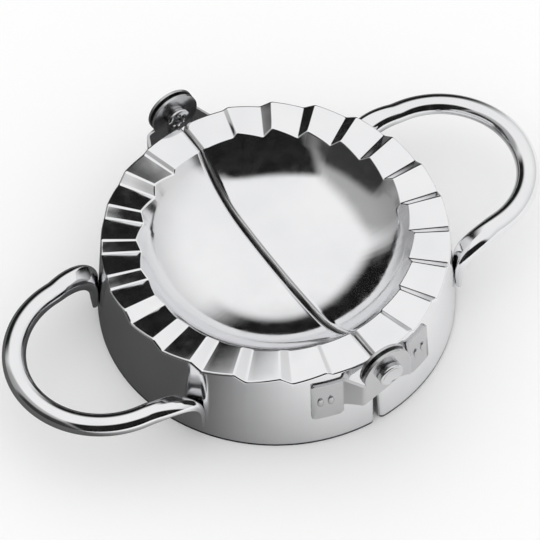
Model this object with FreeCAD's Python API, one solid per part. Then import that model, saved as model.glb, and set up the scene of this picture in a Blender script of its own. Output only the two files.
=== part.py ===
import FreeCAD, Part
import math
import os
from collections import namedtuple
from FreeCAD import Vector

# Folding dough press of pressed stainless sheet. Two equal halves hinge along Y and lie open side by
# side: the left half on -X, the right half on +X. The right half is the left one turned half a turn
# about Z, so the saw-toothed rims nest when the press is folded shut.
# Lengths are in millimetres and angles in degrees. The origin is the middle of the cutting edge.

# Pressed half shell: skirt, crimped rim and bowl in one sheet
SHELL_SHEET = 0.6
RIM_HEIGHT = 26.9
RIM_RADIUS = 47.6
RIM_FALL = 0.28
WAVE_HEIGHT = 2.15
TILE_COUNT = 12
RISER_ANGLE = 3.95
SKIRT_FLARE = 2.1
SKIRT_FOOT_RADIUS = RIM_RADIUS + SKIRT_FLARE
LIP_HEIGHT = 1.6
BOWL_RADIUS = 37.2
BOWL_DEPTH = 13.5
BOWL_CORNER_RADIUS = 26.0
BOWL_CROWN_RADIUS = 170.0
SPLIT_GAP = 0.5
SPLIT_DRAFT = 2.0
FLANGE_DEPTH = 3.0
FOLD_ROUND = 0.8
RIM_ROUND = 0.45
CORE_RADIUS = 17.0

# Looped handle: a half-round channel, open below, whose ends turn down onto the skirt
HANDLE_SHEET = 0.8
HANDLE_WIDTH = 6.5
HANDLE_DEPTH = 3.4
HANDLE_CORNER = 3.1
HANDLE_TOP = 20.4
HANDLE_RUN = 35.2
HANDLE_REACH = RIM_RADIUS + HANDLE_RUN
HANDLE_LOOP_RADIUS = 24.0
LEG_SPLAY = 6.4
ELBOW_RUN = 13.4
FOOT_ANGLE = 29.8
FOOT_TOP = 9.5
FOOT_BOTTOM = 4.8
FOOT_WIDTH = 7.8
FOOT_DEPTH = 2.4
FOOT_CORNER = 1.2
TOE_DEPTH = 1.5
ELBOW_STEPS = 3
ELBOW_PULL_SHARE = 0.45
BOW_SECTION = (HANDLE_WIDTH, HANDLE_DEPTH, HANDLE_CORNER)
FOOT_SECTION = (FOOT_WIDTH, FOOT_DEPTH, FOOT_CORNER)
TOE_SECTION = (FOOT_WIDTH, TOE_DEPTH, FOOT_CORNER)

# Hinge brackets: a plate welded on the skirt, a joggled strip and a round ear about the pin
PIN_HEIGHT = 28.0
EAR_SHEET = 0.8
EAR_RADIUS = 7.1
EAR_GAP = 1.2
EAR_STANDOFF = 6.0
EAR_FACE = RIM_RADIUS + EAR_STANDOFF
WEB_SLOPE = 20.0
BEND_RADIUS = 1.2
STRIP_DROP = 2.3
PLATE_END_ANGLE = 22.4
PLATE_TOP = 24.2
PLATE_BOTTOM = 11.0
PLATE_CORNER = 1.5
WELD_GAP = 0.02
DIMPLE_RADIUS = 1.1
DIMPLE_DEPTH = 0.25
DIMPLE_ANGLES = (16.2, 19.6)

# What differs between the outer and the inner bracket: the ear's face, the strip's run from the
# plate to the bend at the ear, the angle where the plate starts, and the strip's rise above the
# plate's lower edge
OUTER_STRIP_RUN = 4.13
OUTER_STRIP_RISE = 3.7
OUTER_PLATE_ANGLE = 12.6
INNER_STRIP_RUN = 3.05
INNER_STRIP_RISE = 2.6
INNER_PLATE_ANGLE = 13.6
INNER_EAR_FACE = EAR_FACE - EAR_SHEET - EAR_GAP
BracketForm = namedtuple("BracketForm", "face strip_run strip_rise plate_angle")
OUTER_BRACKET = BracketForm(EAR_FACE, OUTER_STRIP_RUN, OUTER_STRIP_RISE, OUTER_PLATE_ANGLE)
INNER_BRACKET = BracketForm(INNER_EAR_FACE, INNER_STRIP_RUN, INNER_STRIP_RISE, INNER_PLATE_ANGLE)

# Hinge rivets: drum head outside, flared star end inside
PIN_RADIUS = 2.0
PIN_CLEARANCE = 0.05
RIVET_PLAY = 0.08
HEAD_RADIUS = 3.55
HEAD_LENGTH = 2.0
HEAD_BEVEL = 0.35
NECK_RADIUS = 2.9
NECK_LENGTH = 1.0
FLARE_RADIUS = 3.5
FLARE_LENGTH = 1.0
FLARE_BEVEL = 0.25
STAR_DEPTH = 1.5
STAR_CORE_RADIUS = 1.3
STAR_LOBE_RADIUS = 0.75
STAR_LOBES = 6

# Reach of cutting bodies past the faces they cut, and the closeness that counts as touching
OVERRUN = 1.0
TOUCH = 0.001

ORIGIN = Vector(0, 0, 0)
X_AXIS = Vector(1, 0, 0)
Y_AXIS = Vector(0, 1, 0)
Z_AXIS = Vector(0, 0, 1)
QUARTER_TURN = 90.0
HALF_TURN = 180.0
FULL_TURN = 360.0


def unit(vector):
    """The vector at length one."""
    return vector * (1 / vector.Length)


def blend(start, end, share):
    """Value a share of the way from one to another."""
    return start + (end - start) * share


def line(start, end):
    """Straight edge."""
    return Part.LineSegment(start, end).toShape()


def arc(start, middle, end):
    """Round edge through three points."""
    return Part.Arc(start, middle, end).toShape()


def rounded_path(points, radius):
    """Edges through the points with a tangent arc of one radius at each inner corner."""
    edges = []
    here = points[0]
    for before, corner, after in zip(points, points[1:], points[2:]):
        arriving = unit(before - corner)
        leaving = unit(after - corner)
        half = 0.5 * arriving.getAngle(leaving)
        setback = radius / math.tan(half)
        bisector = unit(arriving + leaving)
        middle = corner + bisector * (radius / math.sin(half) - radius)
        start = corner + arriving * setback
        end = corner + leaving * setback
        edges.append(line(here, start))
        edges.append(arc(start, middle, end))
        here = end
    edges.append(line(here, points[-1]))
    return edges


def edges_where(shape, test):
    """Edges of a shape whose sampled points all pass a test."""
    return [edge for edge in shape.Edges if all(test(point) for point in edge.discretize(5))]


def skirt_radius(height):
    """Outer radius of the flared skirt at a height."""
    flare = (SKIRT_FOOT_RADIUS - RIM_RADIUS) / (RIM_HEIGHT - LIP_HEIGHT)
    return SKIRT_FOOT_RADIUS - flare * (height - LIP_HEIGHT)


def skirt_solid(inset):
    """Solid inside the skirt, drawn in by the inset and running past the rim."""
    top = RIM_HEIGHT + WAVE_HEIGHT + OVERRUN
    foot = SKIRT_FOOT_RADIUS - inset
    below = -OVERRUN if inset > 0 else 0
    outline = Part.makePolygon([
        Vector(0, 0, below),
        Vector(foot, 0, below),
        Vector(foot, 0, LIP_HEIGHT),
        Vector(skirt_radius(top) - inset, 0, top),
        Vector(0, 0, top),
        Vector(0, 0, below),
    ])
    return Part.Face(outline).revolve(ORIGIN, Z_AXIS, FULL_TURN)


def rim_breaks():
    """Angles round the half rim where the saw-tooth bends, each with its level from -1 to 1."""
    pitch = HALF_TURN / TILE_COUNT
    half_riser = 0.5 * RISER_ANGLE
    breaks = [(0, 0), (pitch, 0), (pitch + half_riser, -1)]
    for riser in range(2, TILE_COUNT - 1):
        breaks.append((riser * pitch - half_riser, 1))
        breaks.append((riser * pitch + half_riser, -1))
    last = HALF_TURN - pitch
    return breaks + [(last - half_riser, 1), (last, 0), (HALF_TURN, 0)]


def rim_section(degrees, level, inset):
    """Upright radial section through the rim ring; its top follows the saw-tooth at that angle."""
    turn = math.radians(degrees)
    inner = CORE_RADIUS
    outer = SKIRT_FOOT_RADIUS + CORE_RADIUS
    middle = 0.5 * (RIM_RADIUS + BOWL_RADIUS)
    slope = RIM_FALL / (RIM_RADIUS - BOWL_RADIUS)
    crest = RIM_HEIGHT + 0.5 * level * WAVE_HEIGHT - inset
    below = -2.0 * OVERRUN
    corners = [
        (inner, below),
        (outer, below),
        (outer, crest + slope * (outer - middle)),
        (inner, crest + slope * (inner - middle)),
        (inner, below),
    ]
    return Part.makePolygon([
        Vector(-radius * math.sin(turn), radius * math.cos(turn), height) for radius, height in corners
    ])


def rim_ring(inset):
    """Ring under the saw-toothed rim surface, lowered by the inset."""
    sections = [rim_section(degrees, level, inset) for degrees, level in rim_breaks()]
    return Part.makeLoft(sections, True, True)


def bowl_solid(inset):
    """Solid that fills the bowl, grown by the inset: shallow crown, round corner and straight rise."""
    crown = Vector(0, 0, RIM_HEIGHT - BOWL_DEPTH + BOWL_CROWN_RADIUS)
    rim = Vector(BOWL_RADIUS, 0, RIM_HEIGHT)
    reach = BOWL_CROWN_RADIUS - BOWL_CORNER_RADIUS
    span = (rim - crown).Length
    along = (reach ** 2 - BOWL_CORNER_RADIUS ** 2 + span ** 2) / (2 * span)
    aside = math.sqrt(reach ** 2 - along ** 2)
    towards = unit(rim - crown)
    corner = crown + towards * along + Vector(towards.z, 0, -towards.x) * aside
    outward = unit(corner - crown)
    rimward = unit(rim - corner)
    crown_radius = BOWL_CROWN_RADIUS + inset
    corner_radius = BOWL_CORNER_RADIUS + inset
    bottom = crown - Z_AXIS * crown_radius
    join = corner + outward * corner_radius
    wall = corner + rimward * corner_radius
    top = wall + Vector(-rimward.z, 0, rimward.x) * (WAVE_HEIGHT + OVERRUN)
    middle = Vector(0, 0, top.z)
    edges = [
        arc(bottom, crown + unit(outward - Z_AXIS) * crown_radius, join),
        arc(join, corner + unit(outward + rimward) * corner_radius, wall),
        line(wall, top),
        line(top, middle),
        line(middle, bottom),
    ]
    return Part.Face(Part.Wire(edges)).revolve(ORIGIN, Z_AXIS, FULL_TURN)


def pressed_form(inset):
    """Filled-in half of the pressed form, drawn in by the inset."""
    core = Part.makeCylinder(CORE_RADIUS + OVERRUN, RIM_HEIGHT, Vector(0, 0, -2 * OVERRUN))
    ring = rim_ring(inset).fuse(core)
    return skirt_solid(inset).common(ring).cut(bowl_solid(inset))


def beyond_split(distance):
    """Block left of the split: its face keeps a distance from the middle at the rim and leans away below."""
    size = 2 * (SKIRT_FOOT_RADIUS + OVERRUN)
    block = Part.makeBox(size, size, size, Vector(-distance - size, -0.5 * size, -0.5 * size))
    block.rotate(Vector(-distance, 0, RIM_HEIGHT), Y_AXIS, SPLIT_DRAFT)
    return block


def fold_reach(height):
    """Distance from the middle to the folded edge's face at a height."""
    return 0.5 * SPLIT_GAP + (RIM_HEIGHT - height) * math.tan(math.radians(SPLIT_DRAFT))


def fold_edges(body):
    """Edges of the filled half form along its folded split."""

    def on_fold(point):
        return abs(point.x + fold_reach(point.z)) < TOUCH

    return [edge for edge in edges_where(body, on_fold) if edge.BoundBox.ZMax > TOUCH]


def rim_edges(body, radius_at, reach):
    """Saw-toothed edges of the filled half form that stay within a reach of a radius at their height."""
    lowest = RIM_HEIGHT - 2 * WAVE_HEIGHT

    def on_rim(point):
        return point.z > lowest and abs(math.hypot(point.x, point.y) - radius_at(point.z)) < reach

    return [edge for edge in edges_where(body, on_rim) if edge.BoundBox.XMin < -2 * fold_reach(0)]


def rounded_form(filled):
    """The filled half form with its split fold and both edges of its rim rounded."""
    reach = 0.25 * (RIM_RADIUS - BOWL_RADIUS)
    body = filled.makeFillet(RIM_ROUND, rim_edges(filled, skirt_radius, 0.5 * RIM_ROUND))
    return body.makeFillet(FOLD_ROUND, fold_edges(body) + rim_edges(body, lambda height: BOWL_RADIUS, reach))


def make_half_shell():
    """Left pressed half, open below, with its split edge folded down all along the section."""
    half_gap = 0.5 * SPLIT_GAP
    filled = pressed_form(0).common(beyond_split(half_gap)).Solids[0]
    body = rounded_form(filled)
    hollow = pressed_form(SHELL_SHEET).common(beyond_split(half_gap + SHELL_SHEET))
    mouth = pressed_form(FLANGE_DEPTH).common(beyond_split(-OVERRUN))
    return body.cut(hollow).cut(mouth)


def channel_wire(origin, side, up, size):
    """Closed outline of an open channel; the crown's middle is the origin and the mouth points down."""
    width, depth, corner = size
    half = 0.5 * width
    inner = half - HANDLE_SHEET
    outside = [(-half, -depth), (-half, 0), (half, 0), (half, -depth)]
    inside = [(inner, -depth), (inner, -HANDLE_SHEET), (-inner, -HANDLE_SHEET), (-inner, -depth)]
    outer_points = [origin + side * across + up * above for across, above in outside]
    inner_points = [origin + side * across + up * above for across, above in inside]
    edges = rounded_path(outer_points, corner)
    edges.append(line(outer_points[-1], inner_points[0]))
    edges += rounded_path(inner_points, corner - HANDLE_SHEET)
    edges.append(line(inner_points[-1], outer_points[0]))
    return Part.Wire(edges)


def foot_point(height):
    """Place of the foot's crown line against the skirt, near side of the left half."""
    turn = math.radians(FOOT_ANGLE)
    radius = skirt_radius(height) + WELD_GAP
    return Vector(-radius * math.cos(turn), -radius * math.sin(turn), height)


def elbow_wires(leg_end, leg_heading):
    """Channel outlines from the leg's end, round the elbow, to the foot's top, and that of its toe."""
    foot_top = foot_point(FOOT_TOP)
    down = unit(foot_point(FOOT_BOTTOM) - foot_top)
    turn = math.radians(FOOT_ANGLE)
    inward = Vector(math.cos(turn), math.sin(turn), 0)
    pull = ELBOW_PULL_SHARE * (foot_top - leg_end).Length
    curve = Part.BezierCurve()
    curve.setPoles([leg_end, leg_end + leg_heading * pull, foot_top - down * pull, foot_top])
    wires = []
    for step in range(ELBOW_STEPS + 1):
        share = step / ELBOW_STEPS
        heading = unit(curve.tangent(share)[0])
        lean = math.radians(QUARTER_TURN * share)
        up = Z_AXIS * math.cos(lean) + inward * math.sin(lean)
        up = unit(up - heading * up.dot(heading))
        side = heading.cross(up)
        size = [blend(start, end, share) for start, end in zip(BOW_SECTION, FOOT_SECTION)]
        wires.append(channel_wire(curve.value(share), side, up, size))
    toe = channel_wire(foot_point(FOOT_BOTTOM), side, up, TOE_SECTION)
    return wires, toe


def make_handle():
    """Left handle: a round loop, two straight legs, and feet that turn down onto the skirt."""
    centre = Vector(HANDLE_LOOP_RADIUS + 0.5 * HANDLE_WIDTH - HANDLE_REACH, 0, 0)
    half_sweep = QUARTER_TURN - LEG_SPLAY
    swing = math.radians(half_sweep)
    outward = Vector(-math.cos(swing), -math.sin(swing), 0)
    heading = Vector(math.sin(swing), -math.cos(swing), 0)
    loop_end = centre + outward * HANDLE_LOOP_RADIUS + Z_AXIS * HANDLE_TOP
    bow = Part.Face(channel_wire(loop_end, heading.cross(Z_AXIS), Z_AXIS, BOW_SECTION))
    loop = bow.revolve(centre, Z_AXIS, -2 * half_sweep)
    leg_end = foot_point(FOOT_TOP).x - ELBOW_RUN
    leg_run = heading * ((leg_end - loop_end.x) / heading.x)
    leg = bow.extrude(leg_run)
    wires, toe = elbow_wires(loop_end + leg_run, heading)
    elbow = Part.makeLoft(wires, True, False)
    foot = Part.makeLoft([wires[-1], toe], True, True)
    near = leg.fuse([elbow, foot])
    far = near.mirror(ORIGIN, Y_AXIS)
    return loop.fuse([near, far])


def heading_side(turn):
    """Left-hand side of a heading in plan."""
    return Vector(-math.sin(turn), math.cos(turn), 0)


def plate_start(form):
    """Distance along X from the pin to where the welded plate starts."""
    return skirt_radius(PLATE_TOP) * math.sin(math.radians(form.plate_angle))


def bend_reach(form):
    """Distance along X from the pin to the bend between strip and ear."""
    return plate_start(form) - form.strip_run


def bracket_plan(height, form):
    """Plan outline of the bent bracket sheet at a height: plate, joggled strip and ear plane."""
    half = 0.5 * EAR_SHEET
    ring = skirt_radius(height) + WELD_GAP + half
    start = math.radians(form.plate_angle)
    end = math.radians(PLATE_END_ANGLE)
    lift = Z_AXIS * height
    first = Vector(-math.sin(start), -math.cos(start), 0) * (ring + BEND_RADIUS)
    second = Vector(-bend_reach(form), half + BEND_RADIUS - form.face, 0)
    gap = second - first
    slant = math.atan2(gap.y, gap.x) - math.asin(2 * BEND_RADIUS / gap.Length)

    def side_edges(offset):
        at_plate = [Vector(-math.sin(a), -math.cos(a), 0) * (ring - offset) + lift
                    for a in (end, 0.5 * (start + end), start)]
        at_first = [first + heading_side(a) * (BEND_RADIUS + offset) + lift
                    for a in (-start, 0.5 * (slant - start), slant)]
        at_second = [second - heading_side(a) * (BEND_RADIUS - offset) + lift
                     for a in (slant, 0.5 * slant, 0)]
        tip = Vector(EAR_RADIUS + OVERRUN, at_second[-1].y, height)
        edges = [
            arc(*at_plate),
            arc(*at_first),
            line(at_first[-1], at_second[0]),
            arc(*at_second),
            line(at_second[-1], tip),
        ]
        return edges, at_plate[0], tip

    outer, outer_start, outer_tip = side_edges(-half)
    inner, inner_start, inner_tip = side_edges(half)
    return Part.Wire(outer + [line(outer_tip, inner_tip)] + inner[::-1] + [line(inner_start, outer_start)])


def bracket_silhouette(form):
    """Front outline of a bracket, drawn in the XZ plane and run through its whole depth."""
    tangent = math.radians(WEB_SLOPE - QUARTER_TURN)
    touch = Vector(EAR_RADIUS * math.cos(tangent), 0, PIN_HEIGHT + EAR_RADIUS * math.sin(tangent))
    web_bottom = touch.z - (touch.x + bend_reach(form)) * math.tan(math.radians(WEB_SLOPE))
    plate_near = plate_start(form)
    plate_far = skirt_radius(PLATE_TOP) * math.sin(math.radians(PLATE_END_ANGLE)) + OVERRUN
    shoulder = Vector(-math.sqrt(EAR_RADIUS ** 2 - STRIP_DROP ** 2), 0, PIN_HEIGHT - STRIP_DROP)
    points = [
        touch,
        Vector(-bend_reach(form), 0, web_bottom),
        Vector(-plate_near, 0, PLATE_BOTTOM + form.strip_rise),
        Vector(-plate_near, 0, PLATE_BOTTOM),
        Vector(-plate_far, 0, PLATE_BOTTOM),
        Vector(-plate_far, 0, PLATE_TOP),
        Vector(-plate_near, 0, PLATE_TOP),
        shoulder,
    ]
    edges = rounded_path(points, PLATE_CORNER)
    over = 0.5 * (tangent + math.radians(HALF_TURN))
    crown = Vector(EAR_RADIUS * math.cos(over), 0, PIN_HEIGHT + EAR_RADIUS * math.sin(over))
    edges.append(arc(shoulder, crown, touch))
    outline = Part.Face(Part.Wire(edges))
    return outline.extrude(Y_AXIS * -(form.face + OVERRUN))


def plate_point(degrees, height, lift):
    """Point over the welded plate's outer face."""
    turn = math.radians(degrees)
    radius = skirt_radius(height) + WELD_GAP + EAR_SHEET + lift
    return Vector(-radius * math.sin(turn), -radius * math.cos(turn), height)


def drum(radius, length, distance):
    """Cylinder about the pin axis that starts at a distance in front and runs inwards."""
    return Part.makeCylinder(radius, length, Vector(0, -distance, PIN_HEIGHT), Y_AXIS)


def make_bracket(form):
    """Near bracket of the left half, in its outer or inner form."""
    low = PLATE_BOTTOM - OVERRUN
    high = PIN_HEIGHT + EAR_RADIUS + OVERRUN
    sheet = Part.makeLoft([bracket_plan(low, form), bracket_plan(high, form)], True, True)
    bracket = sheet.common(bracket_silhouette(form))
    bracket = bracket.cut(drum(PIN_RADIUS + PIN_CLEARANCE, EAR_SHEET + 2 * OVERRUN, form.face + OVERRUN))
    height = 0.5 * (PLATE_TOP + PLATE_BOTTOM)
    for degrees in DIMPLE_ANGLES:
        centre = plate_point(degrees, height, DIMPLE_RADIUS - DIMPLE_DEPTH)
        bracket = bracket.cut(Part.makeSphere(DIMPLE_RADIUS, centre))
    return bracket


def make_rivet():
    """Front rivet: rounded drum head, shank, neck and a flared end with a star-shaped hollow."""
    head_face = EAR_FACE + RIVET_PLAY
    inner_face = EAR_FACE - 2 * EAR_SHEET - EAR_GAP - RIVET_PLAY
    head = drum(HEAD_RADIUS, HEAD_LENGTH, head_face + HEAD_LENGTH)
    head = head.makeChamfer(HEAD_BEVEL, edges_where(head, lambda p: p.y < TOUCH - head_face - HEAD_LENGTH))
    shank = drum(PIN_RADIUS, head_face - inner_face, head_face)
    neck = drum(NECK_RADIUS, NECK_LENGTH, inner_face)
    flare_face = inner_face - NECK_LENGTH
    flare = drum(FLARE_RADIUS, FLARE_LENGTH, flare_face)
    flare = flare.makeChamfer(FLARE_BEVEL, edges_where(flare, lambda p: abs(p.y + flare_face) < TOUCH))
    star_start = flare_face - FLARE_LENGTH + STAR_DEPTH
    star = drum(STAR_CORE_RADIUS, STAR_DEPTH + OVERRUN, star_start)
    for lobe in range(STAR_LOBES):
        arm = drum(STAR_LOBE_RADIUS, STAR_DEPTH + OVERRUN, star_start)
        arm.translate(X_AXIS * (STAR_CORE_RADIUS + 0.5 * STAR_LOBE_RADIUS))
        arm.rotate(Vector(0, 0, PIN_HEIGHT), Y_AXIS, FULL_TURN * lobe / STAR_LOBES)
        star = star.fuse(arm)
    return head.fuse([shank, neck, flare]).cut(star)


def turned(shape):
    """The shape turned half a turn about Z, from the left half to the right one."""
    copy = shape.copy()
    copy.rotate(ORIGIN, Z_AXIS, HALF_TURN)
    return copy


def write_node(name, shape):
    """Write one piece as its own file."""
    solid = shape.Solids[0] if len(shape.Solids) == 1 else shape
    solid.exportStep(os.path.join("parts", name + ".step"))


def main():
    """Build one half, turn a copy of it for the other, and write every piece."""
    os.makedirs("parts", exist_ok=True)
    shell = make_half_shell()
    handle = make_handle()
    outer_bracket = make_bracket(OUTER_BRACKET)
    inner_bracket = make_bracket(INNER_BRACKET).mirror(ORIGIN, Y_AXIS)
    rivet = make_rivet()
    write_node("left_shell", shell)
    write_node("right_shell", turned(shell))
    write_node("left_handle", handle)
    write_node("right_handle", turned(handle))
    write_node("left_front_bracket", outer_bracket)
    write_node("right_back_bracket", turned(outer_bracket))
    write_node("left_back_bracket", inner_bracket)
    write_node("right_front_bracket", turned(inner_bracket))
    write_node("front_rivet", rivet)
    write_node("back_rivet", turned(rivet))


if __name__ == "__main__":
    main()
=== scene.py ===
import logging
import math
from dataclasses import dataclass
from enum import Enum
from functools import reduce
from typing import Optional, Sequence, Union

import bmesh
import bpy
from bmesh.types import BMEdge, BMesh, BMVert
from mathutils import Matrix, Vector
from mathutils.kdtree import KDTree


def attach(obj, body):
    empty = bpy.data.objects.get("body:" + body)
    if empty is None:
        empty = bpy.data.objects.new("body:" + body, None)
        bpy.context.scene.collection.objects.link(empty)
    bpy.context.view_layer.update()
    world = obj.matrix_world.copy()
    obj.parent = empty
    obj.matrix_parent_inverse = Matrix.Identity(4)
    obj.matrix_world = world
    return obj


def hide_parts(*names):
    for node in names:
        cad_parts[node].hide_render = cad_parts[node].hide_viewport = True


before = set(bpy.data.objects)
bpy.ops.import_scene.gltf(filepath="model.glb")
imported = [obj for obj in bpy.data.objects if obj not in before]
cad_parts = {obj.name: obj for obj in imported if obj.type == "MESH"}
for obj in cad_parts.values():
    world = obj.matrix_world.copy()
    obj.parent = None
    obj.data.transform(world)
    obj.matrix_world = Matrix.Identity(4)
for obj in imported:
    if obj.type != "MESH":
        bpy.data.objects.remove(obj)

# Dressed model of a folding dough press that lies open: two mirror-bright pressed halves with
# saw-toothed rims, two looped handles, four hinge brackets and two rivets, in a pale studio.
# Sizes are millimetres and degrees, as in the solids, and meshes are scaled to metres at the end.

LOG = logging.getLogger("dough_press")
MM = 0.001
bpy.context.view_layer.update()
X_AXIS = Vector((1, 0, 0))
Y_AXIS = Vector((0, 1, 0))
Z_AXIS = Vector((0, 0, 1))
ORIGIN = Vector((0, 0, 0))
WELD_DISTANCE = 0.001
TRIM_TOLERANCE = 0.0001
PLACE_DIGITS = 5
ANGLE_DIGITS = 4
HALVES = (0.5, 1)
EDGE_SEGMENTS = 2
SHADE_WEIGHT = 60
SHEET_CREASE = 35
TURNED_CREASE = 38
Socket = bpy.types.NodeSocket
Feed = Union[float, Sequence[float], Socket]
Form = Union["HalfShell", "LoopHandle", "WeldSpots", "HingeRivet"]


class Side(Enum):
    """Half of the press that a piece belongs to."""

    LEFT = "left"
    RIGHT = "right"

    @property
    def body(self) -> str:
        """Name of the moving body."""
        return self.value + "_half"


class Slot(Enum):
    """Material slots, one for each kind of piece."""

    PRESSED = "pressed_steel"
    HANDLE = "handle_steel"
    BRACKET = "bracket_steel"
    RIVET = "rivet_steel"


def blend(start: float, end: float, share: float) -> float:
    """Value a share of the way from start to end."""
    return start + (end - start) * share


def turned(vector: Vector, degrees: float) -> Vector:
    """Plane vector turned anticlockwise."""
    angle = math.radians(degrees)
    cos, sin = math.cos(angle), math.sin(angle)
    return Vector((vector.x * cos - vector.y * sin, vector.x * sin + vector.y * cos))


@dataclass(frozen=True)
class Corner:
    """Rounded convex corner of a sheet's section.

    Attributes:
        place: The sharp corner, as radius and height.
        arriving: Unit vector from the corner back along the section.
        leaving: Unit vector from the corner on along the section.
        radius: Radius of the round.
    """

    place: Vector
    arriving: Vector
    leaving: Vector
    radius: float

    @property
    def half_angle(self) -> float:
        """Half of the angle between the two sides, in radians."""
        return 0.5 * self.arriving.angle(self.leaving)

    @property
    def bisector(self) -> Vector:
        """Unit vector from the corner into the sheet's hollow side."""
        return (self.arriving + self.leaving).normalized()

    @property
    def setback(self) -> float:
        """Distance from the corner to where the round starts."""
        return self.radius / math.tan(self.half_angle)

    def inner_point(self, depth: float) -> Vector:
        """Meeting point of the two sides when both are lowered by a depth."""
        return self.place + self.bisector * (depth / math.sin(self.half_angle))

    def points(self, steps: int) -> list[Vector]:
        """Points along the round, both ends included.

        Args:
            steps: Number of equal runs.

        Returns:
            Points in the order of the section.
        """
        centre = self.inner_point(self.radius)
        start = self.place + self.arriving * self.setback - centre
        end = self.place + self.leaving * self.setback - centre
        sweep = math.degrees(start.angle_signed(end))
        return [centre + turned(start, -sweep * step / steps) for step in range(steps + 1)]


@dataclass(frozen=True)
class PressedSection:
    """Radial section through a half shell's visible face, from the skirt's lip to the bowl's middle."""

    foot_radius: float = 49.7
    lip_height: float = 1.6
    rim_height: float = 26.9
    rim_radius: float = 47.6
    rim_fall: float = 0.28
    wave_height: float = 2.15
    bowl_radius: float = 37.2
    bowl_depth: float = 13.5
    bowl_corner_radius: float = 26.0
    bowl_crown_radius: float = 170.0
    outer_round: float = 0.7
    inner_round: float = 0.8
    round_steps: int = 5
    bowl_steps: int = 30
    skirt_steps: int = 4
    flat_steps: int = 4

    @property
    def skirt_flare(self) -> float:
        """Growth of the skirt's radius for each millimetre downwards."""
        return (self.foot_radius - self.rim_radius) / (self.rim_height - self.lip_height)

    @property
    def rim_slope(self) -> float:
        """Rise of the rim's face for each millimetre outwards."""
        return self.rim_fall / (self.rim_radius - self.bowl_radius)

    @property
    def crown_centre(self) -> Vector:
        """Centre of the bowl's shallow crown arc."""
        return Vector((0, self.rim_height - self.bowl_depth + self.bowl_crown_radius))

    @property
    def corner_centre(self) -> Vector:
        """Centre of the round arc between the bowl's crown and its wall."""
        rim = Vector((self.bowl_radius, self.rim_height))
        reach = self.bowl_crown_radius - self.bowl_corner_radius
        span = (rim - self.crown_centre).length
        along = (reach ** 2 - self.bowl_corner_radius ** 2 + span ** 2) / (2 * span)
        aside = math.sqrt(reach ** 2 - along ** 2)
        towards = (rim - self.crown_centre).normalized()
        return self.crown_centre + towards * along + Vector((towards.y, -towards.x)) * aside

    def skirt_radius(self, height: float) -> float:
        """Radius of the skirt's face at a height."""
        return self.foot_radius - self.skirt_flare * (height - self.lip_height)

    def rim_level(self, radius: float, lift: float) -> float:
        """Height of the rim's face at a radius, where the saw-tooth stands at a lift."""
        middle = 0.5 * (self.rim_radius + self.bowl_radius)
        return self.rim_height + lift + self.rim_slope * (radius - middle)

    def outer_corner(self, lift: float) -> Corner:
        """Corner between skirt and rim.

        Args:
            lift: Height of the saw-tooth above the rim's middle level.

        Returns:
            The rounded corner.
        """
        height = self.rim_level(self.rim_radius, lift)
        place = Vector((self.skirt_radius(height), height))
        down = Vector((self.skirt_flare, -1)).normalized()
        inward = Vector((-1, -self.rim_slope)).normalized()
        return Corner(place, down, inward, self.outer_round)

    def inner_corner(self, lift: float) -> Corner:
        """Corner between rim and bowl wall.

        Args:
            lift: Height of the saw-tooth above the rim's middle level.

        Returns:
            The rounded corner.
        """
        height = self.rim_level(self.bowl_radius, lift)
        centre = self.corner_centre
        drop = centre.y - min(height, self.rim_height)
        radius = centre.x + math.sqrt(self.bowl_corner_radius ** 2 - drop ** 2)
        spoke = (Vector((radius, min(height, self.rim_height))) - centre).normalized()
        uphill = Vector((-spoke.y, spoke.x))
        radius += max(height - self.rim_height, 0) * uphill.x / uphill.y
        outward = Vector((1, self.rim_slope)).normalized()
        return Corner(Vector((radius, height)), outward, -uphill, self.inner_round)

    def bowl_points(self) -> list[Vector]:
        """Points down the bowl, from under the rim's lowest round to the middle."""
        centre = self.corner_centre
        joint = (centre - self.crown_centre).normalized()
        low = self.rim_height - 0.5 * self.wave_height - 2 * self.inner_round
        drop = centre.y - low
        start = -math.asin(drop / self.bowl_corner_radius)
        end = math.atan2(joint.y, joint.x)
        arc_steps = self.bowl_steps // 2
        points = []
        for step in range(arc_steps + 1):
            angle = blend(start, end, step / arc_steps)
            points.append(centre + Vector((math.cos(angle), math.sin(angle))) * self.bowl_corner_radius)
        join = points[-1].x
        for step in range(1, arc_steps + 1):
            radius = blend(join, 0, step / arc_steps)
            height = self.crown_centre.y - math.sqrt(self.bowl_crown_radius ** 2 - radius ** 2)
            points.append(Vector((radius, height)))
        return points

    def skirt_points(self) -> list[Vector]:
        """Points up the skirt that stay where they are under the saw-tooth."""
        top = self.rim_height - self.wave_height - self.outer_round
        steps = range(1, self.skirt_steps + 1)
        heights = [0, self.lip_height]
        heights += [blend(self.lip_height, top, step / self.skirt_steps) for step in steps]
        radii = [self.foot_radius, *(self.skirt_radius(height) for height in heights[1:])]
        return [Vector(pair) for pair in zip(radii, heights)]

    def points(self, lift: float) -> list[Vector]:
        """Section where the saw-tooth stands at a lift; the number of points is always the same.

        Args:
            lift: Height of the saw-tooth above the rim's middle level.

        Returns:
            Points from the lip's edge to the bowl's middle, as radius and height.
        """
        outer = self.outer_corner(lift).points(self.round_steps)
        inner = self.inner_corner(lift).points(self.round_steps)
        flat = [outer[-1].lerp(inner[0], step / self.flat_steps) for step in range(1, self.flat_steps)]
        return [*self.skirt_points(), *outer, *flat, *inner, *self.bowl_points()]

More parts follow.
